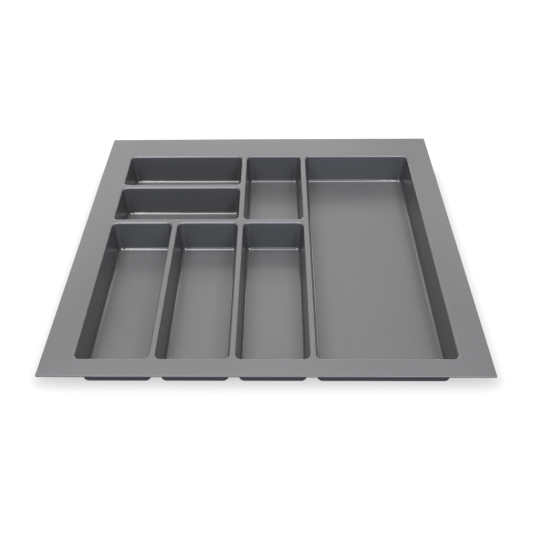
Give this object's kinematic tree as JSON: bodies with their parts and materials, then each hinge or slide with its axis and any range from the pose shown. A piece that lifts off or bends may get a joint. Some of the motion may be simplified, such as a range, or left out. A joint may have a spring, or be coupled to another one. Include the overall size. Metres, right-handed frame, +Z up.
{
  "type": "cutlery tray",
  "caption": "Formed plastic drawer insert with drafted, round-cornered wells for cutlery in a wide flat flange that is trimmed to the drawer.",
  "frame": {"origin": "on the surface that the wells stand on, below the middle of the flange's outline", "axes": "+Z up, +X to the right and +Y to the back, as seen from the front of the drawer"},
  "size_m": [0.54, 0.52, 0.05],
  "materials": {
    "formed_sheet": "satin"
  },
  "bodies": {
    "root": {"front_left_well": "formed_sheet", "front_middle_well": "formed_sheet", "front_right_well": "formed_sheet", "middle_cross_well": "formed_sheet", "rear_cross_well": "formed_sheet", "rear_small_well": "formed_sheet", "large_well": "formed_sheet", "front_flange": "formed_sheet", "rear_flange": "formed_sheet", "left_flange": "formed_sheet", "right_flange": "formed_sheet"}
  },
  "joints": []
}
